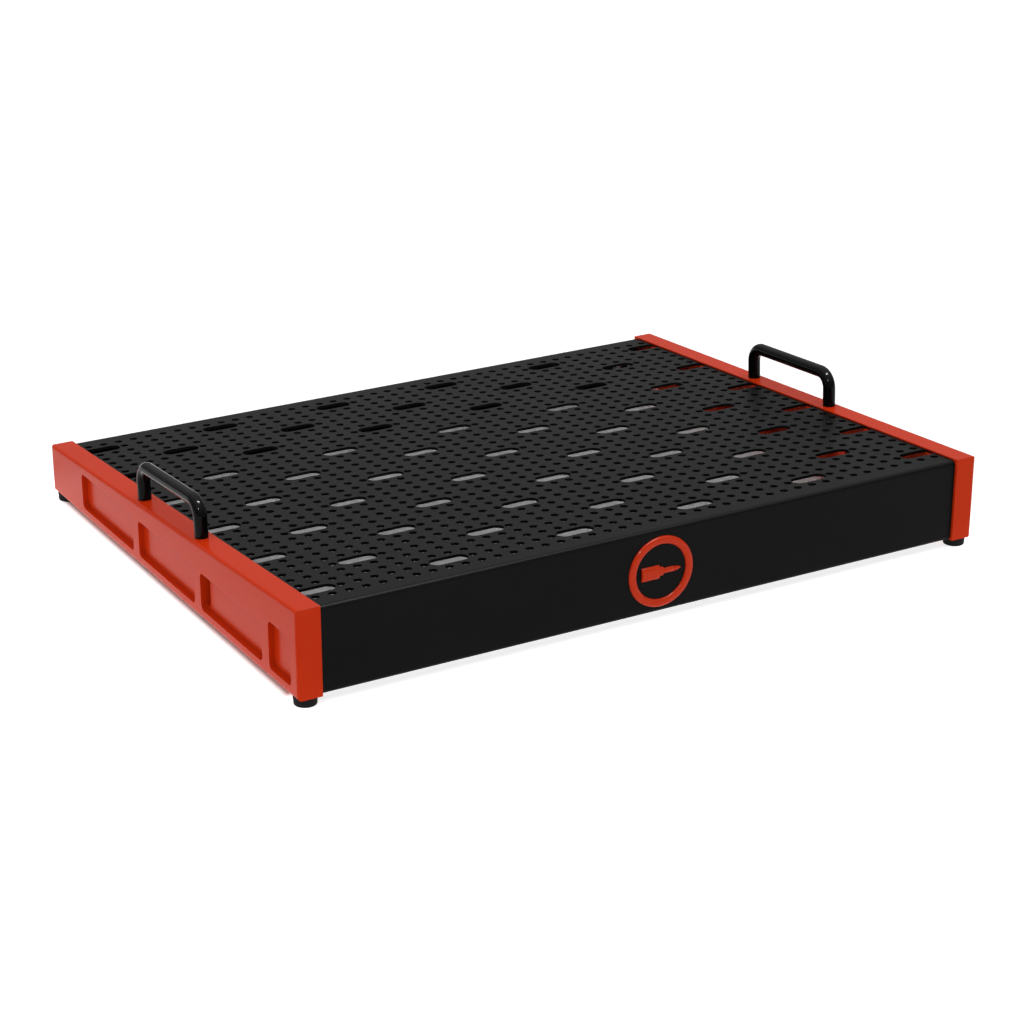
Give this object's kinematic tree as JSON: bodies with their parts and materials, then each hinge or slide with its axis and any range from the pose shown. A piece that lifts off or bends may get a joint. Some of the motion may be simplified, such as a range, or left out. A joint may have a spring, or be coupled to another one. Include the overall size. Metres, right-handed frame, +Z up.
{
  "type": "pedalboard",
  "caption": "Wedge-shaped stage pedalboard: perforated folded deck between pocketed red side panels with fixed lifting handles and rubber feet.",
  "frame": {"origin": "on the floor under the middle of the footprint", "axes": "+Z up, +X to the right along the width, -Y towards the tall face with the badge, +Y towards the low face"},
  "size_m": [0.537, 0.421, 0.0868],
  "materials": {
    "tray_powder_coat": "fine-texture satin black powder coat",
    "panel_powder_coat": "smooth satin red powder coat",
    "handle_enamel": "gloss black",
    "bracket_powder_coat": "satin black",
    "black_oxide_screws": "black oxide",
    "zinc_hardware": "bright zinc plate",
    "foot_rubber": "matt",
    "badge_enamel": "gloss red"
  },
  "bodies": {
    "root": {"deck_tray": "tray_powder_coat", "side_panel_left": "panel_powder_coat", "side_panel_right": "panel_powder_coat", "handle_left": "handle_enamel", "handle_right": "handle_enamel", "handle_screws_left": "black_oxide_screws", "handle_screws_right": "black_oxide_screws", "corner_bracket_front_left": "bracket_powder_coat", "corner_bracket_front_right": "bracket_powder_coat", "corner_bracket_rear_left": "bracket_powder_coat", "corner_bracket_rear_right": "bracket_powder_coat", "tray_studs": "zinc_hardware", "tray_stud_nuts": "zinc_hardware", "bracket_screws": "zinc_hardware", "bracket_washers": "zinc_hardware", "foot_front_left": "foot_rubber", "foot_front_right": "foot_rubber", "foot_rear_left": "foot_rubber", "foot_rear_right": "foot_rubber", "foot_washers": "zinc_hardware", "foot_screws": "zinc_hardware", "badge_ring": "badge_enamel", "badge_emblem": "badge_enamel", "badge_push_clips": "zinc_hardware"}
  },
  "joints": []
}
